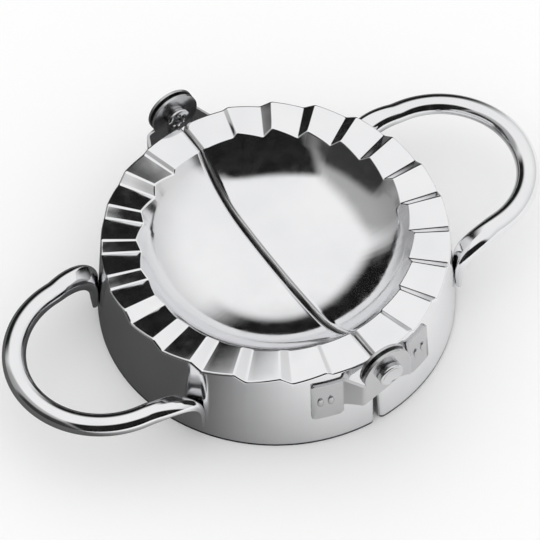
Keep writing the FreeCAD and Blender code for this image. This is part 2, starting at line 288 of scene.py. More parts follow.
    def sunk(self, point: Vector, depth: float) -> Vector:
        """Point of the level section lowered into the sheet.

        Args:
            point: Place on the section, as radius and height.
            depth: Distance from the visible face.

        Returns:
            The lowered place; a round shrinks to its inner meeting point.
        """
        for corner in (self.outer_corner(0), self.inner_corner(0)):
            middle = corner.inner_point(corner.radius)
            starts = (corner.arriving, corner.leaving)
            if all((point - corner.place).dot(way) < corner.setback + WELD_DISTANCE for way in starts):
                if depth >= corner.radius:
                    return corner.inner_point(depth)
                return middle.lerp(point, 1 - depth / corner.radius)
        outside = point.x > self.inner_corner(0).place.x
        if outside and point.y > self.outer_corner(0).place.y - self.outer_round:
            return point + Vector((self.rim_slope, -1)).normalized() * depth
        if outside:
            flare = self.skirt_flare if point.y > self.lip_height else 0
            return point - Vector((1, flare)).normalized() * depth
        joint = (self.corner_centre - self.crown_centre).normalized()
        on_crown = point.x < self.corner_centre.x + joint.x * self.bowl_corner_radius
        centre = self.crown_centre if on_crown else self.corner_centre
        return point + (point - centre).normalized() * depth


@dataclass(frozen=True)
class SawTooth:
    """Crimping wave round a half rim: flat tiles that climb, and short risers between them."""

    tiles: int = 12
    riser_angle: float = 3.95
    bend_angle: float = 0.55
    widest_step: float = 1.9
    bend_samples: int = 9
    bend_stops: tuple[float, ...] = (-1, -0.5, 0, 0.5, 1)

    def breaks(self) -> list[tuple[float, float]]:
        """Angles where the wave bends, each with its level from -1 to 1."""
        pitch = 180 / self.tiles
        half = 0.5 * self.riser_angle
        rows = [(0, 0), (pitch, 0), (pitch + half, -1)]
        for riser in range(2, self.tiles - 1):
            rows += [(riser * pitch - half, 1), (riser * pitch + half, -1)]
        last = 180 - pitch
        return [*rows, (last - half, 1), (last, 0), (180, 0)]

    def sharp_level(self, degrees: float) -> float:
        """Level of the wave with sharp bends."""
        rows = self.breaks()
        for (start, low), (end, high) in zip(rows, rows[1:]):
            if degrees <= end:
                return blend(low, high, max(degrees - start, 0) / (end - start))
        return 0

    def level(self, degrees: float) -> float:
        """Level of the wave with rounded bends."""
        last = self.bend_samples - 1
        shifts = [self.bend_angle * (2 * step / last - 1) for step in range(self.bend_samples)]
        return sum(self.sharp_level(degrees + shift) for shift in shifts) / self.bend_samples

    def columns(self) -> list[float]:
        """Angles of the section's stops round the half rim, close together at the bends."""
        stops = {0.0, 180.0}
        for degrees, _ in self.breaks()[1:-1]:
            stops.update(degrees + self.bend_angle * share for share in self.bend_stops)
        rows = sorted(stops)
        filled = [rows[0]]
        for end in rows[1:]:
            start = filled[-1]
            parts = max(1, math.ceil((end - start) / self.widest_step))
            filled += [blend(start, end, step / parts) for step in range(1, parts + 1)]
        return filled


def edges_in(geometry: Sequence[Union[BMVert, BMEdge]]) -> list[BMEdge]:
    """Edges among the parts of a mesh."""
    return [item for item in geometry if isinstance(item, BMEdge)]


def verts_in(geometry: Sequence[Union[BMVert, BMEdge]]) -> list[BMVert]:
    """Points among the parts of a mesh."""
    return [item for item in geometry if isinstance(item, BMVert)]


def merge(bm: BMesh, distance: float = WELD_DISTANCE) -> None:
    """Merge points that lie together."""
    bmesh.ops.remove_doubles(bm, verts=bm.verts, dist=distance)


def linked(name: str, data: bpy.types.ID) -> bpy.types.Object:
    """New object in the scene."""
    item = bpy.data.objects.new(name, data)
    bpy.context.scene.collection.objects.link(item)
    return item


def emptied(bm: BMesh, name: str, mesh_name: str) -> bpy.types.Object:
    """Move a bmesh into a new object in the scene.

    Args:
        bm: Bmesh in metres, which is left empty.
        name: Name of the object.
        mesh_name: Name of its mesh.

    Returns:
        The object.
    """
    mesh = bpy.data.meshes.new(mesh_name)
    bm.to_mesh(mesh)
    bm.clear()
    return linked(name, mesh)


class Piece:
    """Common work on a piece: from a bmesh in millimetres to a dressed object in metres.

    Attributes:
        slot: Material slot of this kind of piece.
    """

    slot: Slot

    def __init__(self, name: str, side: Side, form: Form) -> None:
        """Keep the name of the node, the side that the piece sits on and its form."""
        self.name = name
        self.side = side
        self.form = form

    @property
    def body(self) -> str:
        """Body that the piece moves with."""
        return self.side.body

    def placed(self) -> BMesh:
        """Bmesh of the piece in its own place, in metres."""
        bm = self.form.build()
        if self.side is Side.RIGHT:
            bmesh.ops.rotate(bm, cent=ORIGIN, matrix=Matrix.Rotation(math.pi, 3, "Z"), verts=bm.verts)
        bmesh.ops.scale(bm, vec=Vector((MM, MM, MM)), verts=bm.verts)
        return bm

    def stack(self, piece: bpy.types.Object) -> None:
        """Add the modifiers that finish the piece."""

    def make(self, finish: bpy.types.Material) -> None:
        """Build the object, dress it, tie it to its body and hide its node.

        Args:
            finish: Material of the whole piece.
        """
        bm = self.placed()
        for face in bm.faces:
            face.smooth = True
        piece = emptied(bm, self.name + "_dressed", self.name + "_mesh")
        piece.data.materials.append(finish)
        self.stack(piece)
        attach(piece, self.body)
        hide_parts(self.name)
        LOG.info("%s: %d faces before modifiers", piece.name, len(piece.data.polygons))


def add_wall(piece: bpy.types.Object, thickness: float) -> None:
    """Give a one-sided sheet its wall, inwards from the visible face."""
    wall = piece.modifiers.new("wall", "SOLIDIFY")
    wall.thickness = thickness * MM
    wall.offset = -1
    wall.use_quality_normals = True


def add_shade(piece: bpy.types.Object) -> None:
    """Let the large faces lead the shading."""
    shade = piece.modifiers.new("shade", "WEIGHTED_NORMAL")
    shade.mode = "FACE_AREA"
    shade.weight = SHADE_WEIGHT
    shade.keep_sharp = True


def add_edge_round(piece: bpy.types.Object, width: float, degrees: float) -> None:
    """Round the cut edges of a piece a little.

    Args:
        piece: Object to finish.
        width: Width of the round.
        degrees: Angle from which an edge counts as cut.
    """
    edge = piece.modifiers.new("edge_round", "BEVEL")
    edge.width = width * MM
    edge.segments = EDGE_SEGMENTS
    edge.limit_method = "ANGLE"
    edge.angle_limit = math.radians(degrees)
    edge.use_clamp_overlap = True
    add_shade(piece)


def face_up(bm: BMesh) -> None:
    """Turn all faces of a sheet the same way, with the highest one upwards."""
    bmesh.ops.recalc_face_normals(bm, faces=bm.faces)
    highest = max(bm.faces, key=lambda face: face.calc_center_median().z)
    if highest.normal.z < 0:
        bmesh.ops.reverse_faces(bm, faces=bm.faces)


def place_key(place: Vector) -> tuple[float, ...]:
    """Rounded place, the same for points that lie together."""
    return tuple(round(part, PLACE_DIGITS) for part in place)


@dataclass
class HalfShell:
    """Pressed half: skirt, saw-toothed rim, bowl and folded split edge in one sheet."""

    section: PressedSection = PressedSection()
    wave: SawTooth = SawTooth()
    sheet: float = 0.6
    split_gap: float = 0.34
    split_draft: float = 1.2
    fold_radius: float = 1.5
    flange_depth: float = 3.0
    fold_steps: int = 10
    edge_round: float = 0.26
    edge_angle: float = 60

    def lean(self, height: float) -> float:
        """Distance by which the fold has moved away from the middle at a height."""
        return (self.section.rim_height - height) * math.tan(math.radians(self.split_draft))

    def spun(self) -> BMesh:
        """Level section spun round the half rim, one stop after another."""
        bm = bmesh.new()
        row = [bm.verts.new((0, point.x, point.y)) for point in self.section.points(0)]
        geometry = [*row, *(bm.edges.new(pair) for pair in zip(row, row[1:]))]
        stops = self.wave.columns()
        for start, end in zip(stops, stops[1:]):
            turn = bmesh.ops.spin(
                bm, geom=geometry, cent=ORIGIN, axis=Z_AXIS, angle=math.radians(end - start), steps=1,
            )
            geometry = turn["geom_last"]
        return bm

    def wave_rim(self, bm: BMesh) -> None:
        """Move each stop's points to the section at the wave's lift there."""
        level = [Vector((point.x, 0, point.y)) for point in self.section.points(0)]
        finder = KDTree(len(level))
        for index, point in enumerate(level):
            finder.insert(point, index)
        finder.balance()
        sections: dict[float, list[Vector]] = {}
        for vert in bm.verts:
            radius = math.hypot(vert.co.x, vert.co.y)
            index = finder.find(Vector((radius, 0, vert.co.z)))[1]
            degrees = 0
            if radius > WELD_DISTANCE:
                degrees = round(math.degrees(math.atan2(-vert.co.x, vert.co.y)), ANGLE_DIGITS)
            if degrees not in sections:
                lift = 0.5 * self.section.wave_height * self.wave.level(degrees)
                sections[degrees] = self.section.points(lift)
            place = sections[degrees][index]
            angle = math.radians(degrees)
            vert.co = Vector((-place.x * math.sin(angle), place.x * math.cos(angle), place.y))

    def fold_split(self, bm: BMesh) -> None:
        """Trim the sheet beside the split and fold its edge down to a flange."""
        slope = math.tan(math.radians(self.split_draft))
        start = 0.5 * self.split_gap + self.fold_radius
        cut = bmesh.ops.bisect_plane(
            bm, geom=[*bm.verts, *bm.edges, *bm.faces], dist=TRIM_TOLERANCE,
            plane_co=Vector((-start, 0, self.section.rim_height)), plane_no=Vector((1, 0, -slope)),
            clear_outer=True, clear_inner=False,
        )
        edges = edges_in(cut["geom_cut"])
        rest = {vert: vert.co.copy() for edge in edges for vert in edge.verts}
        stages = []
        for step in range(1, self.fold_steps + 1):
            angle = 0.5 * math.pi * step / self.fold_steps
            stages.append((1 - math.sin(angle), self.fold_radius * (1 - math.cos(angle))))
        stages += [(0, blend(self.fold_radius, self.flange_depth, share)) for share in HALVES]
        for back, depth in stages:
            grown = bmesh.ops.extrude_edge_only(bm, edges=edges)["geom"]
            edges = edges_in(grown)
            by_place = {place_key(vert.co): home for vert, home in rest.items()}
            fresh = {}
            for vert in verts_in(grown):
                home = by_place[place_key(vert.co)]
                radius = math.hypot(home.x, home.y)
                low = self.section.sunk(Vector((radius, home.z)), depth)
                across = home.y + (low.x - radius) * math.copysign(1, home.y)
                away = 0.5 * self.split_gap + self.fold_radius * back + self.lean(low.y)
                vert.co = Vector((-away, across, low.y))
                fresh[vert] = home
            rest = fresh

    def build(self) -> BMesh:
        """Whole visible face of the left half."""
        bm = self.spun()
        merge(bm)
        self.wave_rim(bm)
        self.fold_split(bm)
        merge(bm)
        face_up(bm)
        return bm


class ShellPiece(Piece):
    """Half shell as a piece of the press."""

    slot = Slot.PRESSED

    def placed(self) -> BMesh:
        """Sheet with its wall, in metres, held back from the other half at the split."""
        bm = super().placed()
        bare = emptied(bm, "bare_sheet", "bare_sheet_mesh")
        add_wall(bare, self.form.sheet)
        bm.from_object(bare, bpy.context.evaluated_depsgraph_get())
        sheet = bare.data
        bpy.data.objects.remove(bare)
        bpy.data.meshes.remove(sheet)
        away = -1 if self.side is Side.LEFT else 1
        for vert in bm.verts:
            vert.co.x = away * max(away * vert.co.x, 0.5 * self.form.split_gap * MM)
        return bm

    def stack(self, piece: bpy.types.Object) -> None:
        """Rounded cut edges."""
        add_edge_round(piece, self.form.edge_round, self.form.edge_angle)


@dataclass(frozen=True)
class Channel:
    """Section of the handle's open channel."""

    width: float
    depth: float
    corner: float

    def outline(self, steps: int) -> list[tuple[float, float]]:
        """Outer line from one lip over the crown to the other.

        Args:
            steps: Runs in each rounded corner.

        Returns:
            Distances across and above the crown's middle.
        """
        half = 0.5 * self.width
        rows = [(-half, -self.depth)]
        for step in range(steps + 1):
            angle = 0.5 * math.pi * step / steps
            rows.append((-half + self.corner * (1 - math.cos(angle)), self.corner * (math.sin(angle) - 1)))
        return [*rows, *((-across, above) for across, above in reversed(rows))]

    def towards(self, other: "Channel", share: float) -> "Channel":
        """Section a share of the way to another."""
        return Channel(
            blend(self.width, other.width, share),
            blend(self.depth, other.depth, share),
            blend(self.corner, other.corner, share),
        )


@dataclass
class LoopHandle:
    """Handle of one half: a round loop, two legs, elbows and feet, all one channel."""

    section: PressedSection = PressedSection()
    bow: Channel = Channel(6.5, 3.4, 3.1)
    foot: Channel = Channel(7.8, 2.4, 1.2)
    toe: Channel = Channel(7.8, 1.5, 1.2)
    sheet: float = 0.8
    top: float = 20.4
    reach: float = 82.79
    loop_radius: float = 24.0
    leg_splay: float = 6.4
    elbow_run: float = 13.4
    foot_angle: float = 29.8
    foot_top: float = 9.5
    foot_bottom: float = 4.8
    weld_gap: float = 0.02
    elbow_pull: float = 0.45
    loop_steps: int = 40
    elbow_steps: int = 18
    corner_steps: int = 8
    edge_round: float = 0.15
    edge_angle: float = 50

    def foot_point(self, height: float) -> Vector:
        """Place of the foot's crown line against the skirt."""
        turn = math.radians(self.foot_angle)
        radius = self.section.skirt_radius(height) + self.weld_gap
        return Vector((-radius * math.cos(turn), -radius * math.sin(turn), height))

    def ring(self, origin: Vector, side: Vector, up: Vector, channel: Channel) -> list[Vector]:
        """Channel outline set in space."""
        return [origin + side * across + up * above for across, above in channel.outline(self.corner_steps)]

    def elbow_rings(self, leg_end: Vector, heading: Vector) -> list[list[Vector]]:
        """Outlines from the leg's end round the elbow and down the foot.

        Args:
            leg_end: Crown point where the leg ends.
            heading: Direction of the leg.

        Returns:
            One outline after another.
        """
        foot_top = self.foot_point(self.foot_top)
        down = (self.foot_point(self.foot_bottom) - foot_top).normalized()
        turn = math.radians(self.foot_angle)
        inward = Vector((math.cos(turn), math.sin(turn), 0))
        pull = self.elbow_pull * (foot_top - leg_end).length
        poles = [leg_end, leg_end + heading * pull, foot_top - down * pull, foot_top]
        rings = []
        for step in range(1, self.elbow_steps + 1):
            share = step / self.elbow_steps
            rest = 1 - share
            place = (poles[0] * rest ** 3 + poles[1] * (3 * rest ** 2 * share)
                     + poles[2] * (3 * rest * share ** 2) + poles[3] * share ** 3)
            ahead = ((poles[1] - poles[0]) * rest ** 2 + (poles[2] - poles[1]) * (2 * rest * share)
                     + (poles[3] - poles[2]) * share ** 2).normalized()
            lean = 0.5 * math.pi * share
            up = Z_AXIS * math.cos(lean) + inward * math.sin(lean)
            up = (up - ahead * up.dot(ahead)).normalized()
            side = ahead.cross(up)
            rings.append(self.ring(place, side, up, self.bow.towards(self.foot, share)))
        for share in HALVES:
            place = foot_top.lerp(self.foot_point(self.foot_bottom), share)
            rings.append(self.ring(place, side, up, self.foot.towards(self.toe, share)))
        return rings

    def build(self) -> BMesh:
        """Outer face of the left handle."""
        centre = Vector((self.loop_radius + 0.5 * self.bow.width - self.reach, 0, 0))
        sweep = math.radians(90 - self.leg_splay)
        heading = Vector((math.sin(sweep), -math.cos(sweep), 0))
        start = centre + Vector((-self.loop_radius, 0, self.top))
        bm = bmesh.new()
        row = [bm.verts.new(place) for place in self.ring(start, X_AXIS, Z_AXIS, self.bow)]
        edges = [bm.edges.new(pair) for pair in zip(row, row[1:])]
        spun = bmesh.ops.spin(
            bm, geom=[*row, *edges], cent=centre, axis=Z_AXIS, angle=sweep, steps=self.loop_steps,
        )
        edges = edges_in(spun["geom_last"])
        spoke = Vector((-math.cos(sweep), -math.sin(sweep), 0))
        loop_end = centre + spoke * self.loop_radius + Z_AXIS * self.top
        leg_end = self.foot_point(self.foot_top).x - self.elbow_run
        run = heading * ((leg_end - loop_end.x) / heading.x)
        side = heading.cross(Z_AXIS)
        last = self.ring(loop_end, side, Z_AXIS, self.bow)
        legs = [self.ring(loop_end + run * share, side, Z_AXIS, self.bow) for share in HALVES]
        for ring in [*legs, *self.elbow_rings(loop_end + run, heading)]:
            edges = extrude_to(bm, edges, last, ring)
            last = ring
        bmesh.ops.mirror(bm, geom=[*bm.verts, *bm.edges, *bm.faces], matrix=Matrix.Identity(4),
                         merge_dist=WELD_DISTANCE, axis="Y")
        merge(bm)
        face_up(bm)
        return bm


def extrude_to(
    bm: BMesh, edges: Sequence[BMEdge], old: Sequence[Vector], new: Sequence[Vector],
) -> list[BMEdge]:
    """Extrude an open line of edges and set its points on a new outline.

    Args:
        bm: Mesh that grows.
        edges: Edges of the line.
        old: Outline that the edges lie on.
        new: Outline of the same number of points.

    Returns:
        The new line's edges.
    """
    grown = bmesh.ops.extrude_edge_only(bm, edges=list(edges))["geom"]
    for vert in verts_in(grown):
        nearest = min(range(len(old)), key=lambda index: (old[index] - vert.co).length_squared)
        vert.co = new[nearest]
    return edges_in(grown)


class HandlePiece(Piece):
    """Handle as a piece of the press."""

    slot = Slot.HANDLE

    def stack(self, piece: bpy.types.Object) -> None:
        """Sheet wall and rounded lips."""
        add_wall(piece, self.form.sheet)
        add_edge_round(piece, self.form.edge_round, self.form.edge_angle)


@dataclass(frozen=True)
class WeldSpots:
    """Two oval weld nuggets side by side on a bracket's plate, over the solid's dimples."""

    plate_radius: float = 49.19
    height: float = 17.6
    angles: tuple[float, float] = (16.2, 19.6)
    half_width: float = 0.88
    half_height: float = 1.75
    rise: float = 0.55
    turns: int = 24
    rows: int = 14

    def add(self, bm: BMesh, across: int, along: int) -> None:
        """Add the nuggets to a bracket in metres.

        Args:
            bm: Bracket that grows.
            across: Sign of X where the plate is.
            along: Sign of Y where the plate is.
        """
        for degrees in self.angles:
            turn = math.radians(degrees)
            outward = Vector((across * math.sin(turn), along * math.cos(turn), 0))
            aside = Z_AXIS.cross(outward)
            size = Matrix.Diagonal((self.half_width, self.half_height, self.rise)).to_4x4()
            stand = Matrix((aside, Z_AXIS, outward)).transposed().to_4x4()
            place = Matrix.Translation(outward * self.plate_radius + Z_AXIS * self.height)
            bmesh.ops.create_uvsphere(
                bm, u_segments=self.turns, v_segments=self.rows, radius=1,
                matrix=Matrix.Scale(MM, 4) @ place @ stand @ size,
            )


class BracketPiece(Piece):
    """Hinge bracket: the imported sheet, merged, with its weld nuggets."""

    slot = Slot.BRACKET

    def placed(self) -> BMesh:
        """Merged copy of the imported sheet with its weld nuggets, in metres."""
        bm = bmesh.new()
        bm.from_mesh(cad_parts[self.name].data)
        merge(bm, WELD_DISTANCE * MM)
        across = -1 if self.side is Side.LEFT else 1
        along = -1 if "front" in self.name else 1
        self.form.add(bm, across, along)
        return bm

    def stack(self, piece: bpy.types.Object) -> None:
        """Keep the stamped edges crisp and let the large faces lead the shading."""
        piece.data.set_sharp_from_angle(angle=math.radians(SHEET_CREASE))
        add_shade(piece)


@dataclass
class HingeRivet:
    """Hinge rivet: dished drum head, shank, neck and a flared end with a star-shaped hollow."""

    pin_height: float = 28.0
    head_face: float = 53.68
    inner_face: float = 50.72
    head_radius: float = 3.55
    head_length: float = 2.0
    head_round: float = 0.5
    dish_radius: float = 2.95
    dish_depth: float = 0.7
    pin_radius: float = 2.0
    neck_radius: float = 2.9
    neck_length: float = 1.0
    flare_radius: float = 3.5
    flare_length: float = 1.0
    flare_round: float = 0.3
    star_core: float = 1.3
    star_lobe: float = 0.75
    lobes: int = 6
    turns: int = 96
    round_steps: int = 5
    dish_shares: tuple[float, ...] = (0.2, 0.35, 0.5, 0.6, 0.7, 0.8, 0.87, 0.94, 1)
    dish_power: float = 3
    belt_share: float = 0.6
    corner_cut: float = 0.3
    star_rows: tuple[tuple[float, float], ...] = ((1, 0), (0.9, 0.3), (0.85, 1.5), (0, 1.5))

    @property
    def flared_end(self) -> float:
        """Distance of the flared end's face from the middle of the press."""
        return self.inner_face - self.neck_length - self.flare_length

    def head_line(self) -> list[Vector]:
        """Half outline of the head from the middle of its dish to the shank, as radius and depth."""
        front = self.head_face + self.head_length
        rows = [Vector((0, front - self.dish_depth))]
        rows += [Vector((self.dish_radius * share, front - self.dish_depth * (1 - share ** self.dish_power)))
                 for share in self.dish_shares]
        middle = Vector((self.head_radius - self.head_round, front - self.head_round))
        for step in range(self.round_steps + 1):
            angle = 0.5 * math.pi * (1 - step / self.round_steps)
            rows.append(middle + Vector((math.cos(angle), math.sin(angle))) * self.head_round)
        foot = self.head_face
        rows += [Vector((self.head_radius, foot + self.belt_share * self.head_length)),
                 Vector((self.head_radius, foot + self.flare_round)),
                 Vector((self.head_radius - self.flare_round, foot))]
        return rows

    def star_reach(self, turn: float) -> float:
        """Radius of the star's outline at a turn from a lobe's middle, in radians."""
        pitch = 2 * math.pi / self.lobes
        away = (turn + 0.5 * pitch) % pitch - 0.5 * pitch
        place = self.star_core + 0.5 * self.star_lobe
        room = self.star_lobe ** 2 - (place * math.sin(away)) ** 2
        if room <= 0:
            return self.star_core
        return max(self.star_core, place * math.cos(away) + math.sqrt(room))

    def outline(self) -> list[Vector]:
        """Half outline from the head's middle to the rim of the star's hollow."""
        end = self.flared_end
        low = end + self.flare_length
        cut = self.corner_cut * self.flare_round
        wide, shy = self.flare_radius, self.flare_radius - self.flare_round
        rows = [
            (self.pin_radius, self.head_face), (self.pin_radius, self.inner_face),
            (self.neck_radius, self.inner_face), (self.neck_radius, low),
            (shy, low), (wide, low - self.flare_round), (wide, end + self.flare_round),
            (wide - cut, end + cut), (shy, end),
        ]
        return [*self.head_line(), *(Vector(row) for row in rows)]

    def build(self) -> BMesh:
        """Near rivet, turned about the pin's axis."""
        bm = bmesh.new()
        pin = Vector((0, 0, self.pin_height))
        row = [bm.verts.new((0, -depth, self.pin_height + radius)) for radius, depth in self.outline()]
        edges = [bm.edges.new(pair) for pair in zip(row, row[1:])]
        bmesh.ops.spin(
            bm, geom=[*row, *edges], cent=pin, axis=Y_AXIS, angle=2 * math.pi, steps=self.turns,
            use_merge=True,
        )
        merge(bm)
        rim = [edge for edge in bm.edges if edge.is_boundary]
        for shrink, sunk in self.star_rows:
            grown = bmesh.ops.extrude_edge_only(bm, edges=rim)["geom"]
            rim = edges_in(grown)
            for vert in verts_in(grown):
                turn = math.atan2(vert.co.x, vert.co.z - self.pin_height)
                reach = shrink * self.star_reach(turn)
                across, above = reach * math.sin(turn), reach * math.cos(turn)
                vert.co = Vector((across, -self.flared_end - sunk, self.pin_height + above))
        merge(bm)
        bmesh.ops.recalc_face_normals(bm, faces=bm.faces)
        return bm


class RivetPiece(Piece):
    """Hinge rivet as a piece of the press; both ride on the left half."""

    slot = Slot.RIVET

    @property
    def body(self) -> str:
        """Body that both rivets move with."""
        return Side.LEFT.body

    def stack(self, piece: bpy.types.Object) -> None:
        """Keep the turned corners crisp."""
        piece.data.set_sharp_from_angle(angle=math.radians(TURNED_CREASE))


class NodeKit:
    """Short ways to add nodes to one shader tree."""

    def __init__(self, tree: bpy.types.NodeTree) -> None:
        """Keep the tree that grows."""
        self.tree = tree

    def add(self, kind: str, **settings: str) -> bpy.types.Node:
        """Add a node and set its own properties.

        Args:
            kind: Node type, without the words that all shader nodes begin with.
            settings: Names of properties and their values.

        Returns:
            The new node.
        """
        node = self.tree.nodes.new("ShaderNode" + kind)
        for name, value in settings.items():
            setattr(node, name, value)
        return node

    def feed(self, socket: Socket, value: Feed) -> None:
        """Link a value to a socket, or write a constant on it."""
        if isinstance(value, Socket):
            self.tree.links.new(value, socket)
        else:
            socket.default_value = value

    def result(self, node: bpy.types.Node, *values: Feed) -> Socket:
        """First output of a node whose inputs are fed in order."""
        for socket, value in zip(node.inputs, values):
            self.feed(socket, value)
        return node.outputs[0]

    def maths(self, operation: str, *values: Feed) -> Socket:
        """Result of an operation on values."""
        return self.result(self.add("Math", operation=operation), *values)

    def dot(self, vector: Socket, way: Sequence[float]) -> Socket:
        """Dot product of a vector and a fixed direction."""
        node = self.add("VectorMath", operation="DOT_PRODUCT")
        self.result(node, vector, way)
        return node.outputs["Value"]

    def axes(self, vector: Socket) -> Sequence[Socket]:
        """The vector's X, Y and Z."""
        node = self.add("SeparateXYZ")
        self.result(node, vector)
        return node.outputs

    def ramp(
        self, value: Feed, reach: Sequence[float], ends: Sequence[float] = (0, 1), smooth: bool = True,
    ) -> Socket:
        """Carry a value from one range to another and hold it at both ends.

        Args:
            value: Value to carry.
            reach: Range that it comes from.
            ends: Range that it goes to.
            smooth: Whether it eases in and out.

        Returns:
            The carried value.
        """
        node = self.add("MapRange", interpolation_type="SMOOTHSTEP" if smooth else "LINEAR")
        return self.result(node, value, *reach, *ends)

    def blended(self, kind: str, share: Feed, first: Feed, second: Feed) -> Socket:
        """Blend of two values or colours.

        Args:
            kind: Data type of both.
            share: Share of the second one.
            first: Value or colour at 0.
            second: Value or colour at 1.

        Returns:
            The blend.
        """
        node = self.add("Mix", data_type=kind)
        for name, value in (("Factor", share), ("A", first), ("B", second)):
            self.feed(node.inputs[name], value)
        return node.outputs["Result"]

    def noise(self, place: Socket, scale: float, detail: float) -> Socket:
        """Noise value at a place."""
        node = self.add("TexNoise")
        for name, value in (("Vector", place), ("Scale", scale), ("Detail", detail)):
            self.feed(node.inputs[name], value)
        return node.outputs["Fac"]

    def bump(self, height: Feed, distance: float, below: Optional[Socket] = None) -> Socket:
        """Normal of a relief, laid on another one or on the bare surface."""
        node = self.add("Bump")
        node.inputs["Distance"].default_value = distance
        self.feed(node.inputs["Height"], height)
        if below is not None:
            self.feed(node.inputs["Normal"], below)
        return node.outputs["Normal"]


@dataclass(frozen=True)
class Seam:
    """Duller, streaked folds along the split.

    Attributes:
        half_width: Distance from the middle where the dullness ends, at the top.
        fade_start: Share of that distance where it starts to fade.
        top: Height at which the folds stand nearest.
        draft: Lean of the folds, in degrees.
        roughness: Roughness of the folds.
        streak_scale: Scale of the streaks across the fold.
        streak_run: Share by which the streaks are drawn out along the fold.
        streak_detail: Detail of the streaks.
        streak_reach: Range of the noise that the streaks use.
        streak_grey: Darkest and brightest streak.
    """

    half_width: float = 0.6
    fade_start: float = 0.6
    top: float = PressedSection.rim_height
    draft: float = HalfShell.split_draft
    roughness: float = 0.5
    streak_scale: float = 4200
    streak_run: float = 0.02
    streak_detail: float = 2
    streak_reach: tuple[float, float] = (0.35, 0.65)
    streak_grey: tuple[float, float] = (0.3, 1)

    def streaked(self, kit: NodeKit, place: Socket, colour: Feed, rough: Feed) -> tuple[Feed, Feed]:
        """Lay the dull folds over a colour and a roughness.

        Args:
            kit: Nodes of the material.
            place: Object coordinates.
            colour: Colour of the open surfaces.
            rough: Roughness of the open surfaces.

        Returns:
            Colour and roughness with the folds in them.
        """
        slope = math.tan(math.radians(self.draft))
        across, along, height = kit.axes(place)
        away = kit.maths("MULTIPLY_ADD", height, slope, kit.maths("ABSOLUTE", across))
        ends = (self.top * slope + self.half_width * share for share in (self.fade_start, 1))
        far = kit.ramp(away, [end * MM for end in ends])
        drawn = kit.result(kit.add("CombineXYZ"), away, kit.maths("MULTIPLY", along, self.streak_run))
        noise = kit.noise(drawn, self.streak_scale, self.streak_detail)
        streak = kit.ramp(noise, self.streak_reach, self.streak_grey, smooth=False)
        return kit.blended("RGBA", far, streak, colour), kit.blended("FLOAT", far, self.roughness, rough)


@dataclass(frozen=True)
class SteelFinish:
    """Look of a steel surface.

    Attributes:
        name: Material's name.
        tone: Grey level of the metal.
        roughness: Middle roughness.
        rough_spread: Spread of the roughness over the surface.
        waviness: Depth of the sheet's slow waves, in millimetres.
        scratch: Depth of the fine scratches, in millimetres.
        contact_shadow: Height of the painted contact shadow, a dark line along the lower edge, in
            millimetres.
        seam: Folds along the split, where the piece has them.
        clean_tint: Tint of the metal.
        darker_tint: Tint of its darker patches, which fall at random.
        contact_shadow_colour: Colour of the painted contact shadow.
        contact_shadow_fade: Share of the painted shadow's height where it starts to fade.
        noise_reach: Range of the noise that is used.
        patch_noise: Scale and detail of the patches.
        rough_noise: Scale and detail of the roughness.
        wave_noise: Scale and detail of the waves.
        scratch_noise: Scale and detail of the scratches.
    """

    name: str
    tone: float
    roughness: float
    rough_spread: float
    waviness: float
    scratch: float
    contact_shadow: float = 0
    seam: Optional[Seam] = None
    clean_tint: tuple[float, float, float] = (1, 1, 1.01)
    darker_tint: tuple[float, float, float] = (0.93, 0.935, 0.95)
    contact_shadow_colour: tuple[float, float, float, float] = (0.04, 0.04, 0.045, 1)
    contact_shadow_fade: float = 0.6
    noise_reach: tuple[float, float] = (0.3, 0.7)
    patch_noise: tuple[float, float] = (55, 3)
    rough_noise: tuple[float, float] = (320, 4)
    wave_noise: tuple[float, float] = (70, 1)
    scratch_noise: tuple[float, float] = (1800, 3)

    def shade(self, tint: Sequence[float]) -> tuple[float, float, float, float]:
        """Colour of the metal under a tint."""
        red, green, blue = (self.tone * part for part in tint)
        return red, green, blue, 1

    def material(self) -> bpy.types.Material:
        """Node material on object coordinates.

        Returns:
            The new material.
        """
        material = bpy.data.materials.new(self.name)
        material.use_nodes = True
        kit = NodeKit(material.node_tree)
        shader = material.node_tree.nodes["Principled BSDF"]
        shader.inputs["Metallic"].default_value = 1
        place = kit.add("TexCoord").outputs["Object"]
        patches = kit.ramp(kit.noise(place, *self.patch_noise), self.noise_reach, smooth=False)
        colour = kit.blended("RGBA", patches, self.shade(self.clean_tint), self.shade(self.darker_tint))
        # Painted contact shadow: the colour turns dark along the lowest part of the piece, where it meets
        # the floor
        if self.contact_shadow > 0:
            height = kit.axes(place)["Z"]
            above = kit.ramp(height, (self.contact_shadow_fade * self.contact_shadow * MM, self.contact_shadow * MM))
            colour = kit.blended("RGBA", above, self.contact_shadow_colour, colour)
        ends = (self.roughness - self.rough_spread, self.roughness + self.rough_spread)
        rough = kit.ramp(kit.noise(place, *self.rough_noise), self.noise_reach, ends, smooth=False)
        if self.seam:
            colour, rough = self.seam.streaked(kit, place, colour, rough)
        kit.feed(shader.inputs["Base Color"], colour)
        kit.feed(shader.inputs["Roughness"], rough)
        slow = kit.bump(kit.noise(place, *self.wave_noise), self.waviness * MM)
        fine = kit.bump(kit.noise(place, *self.scratch_noise), self.scratch * MM, slow)
        kit.feed(shader.inputs["Normal"], fine)
        return material


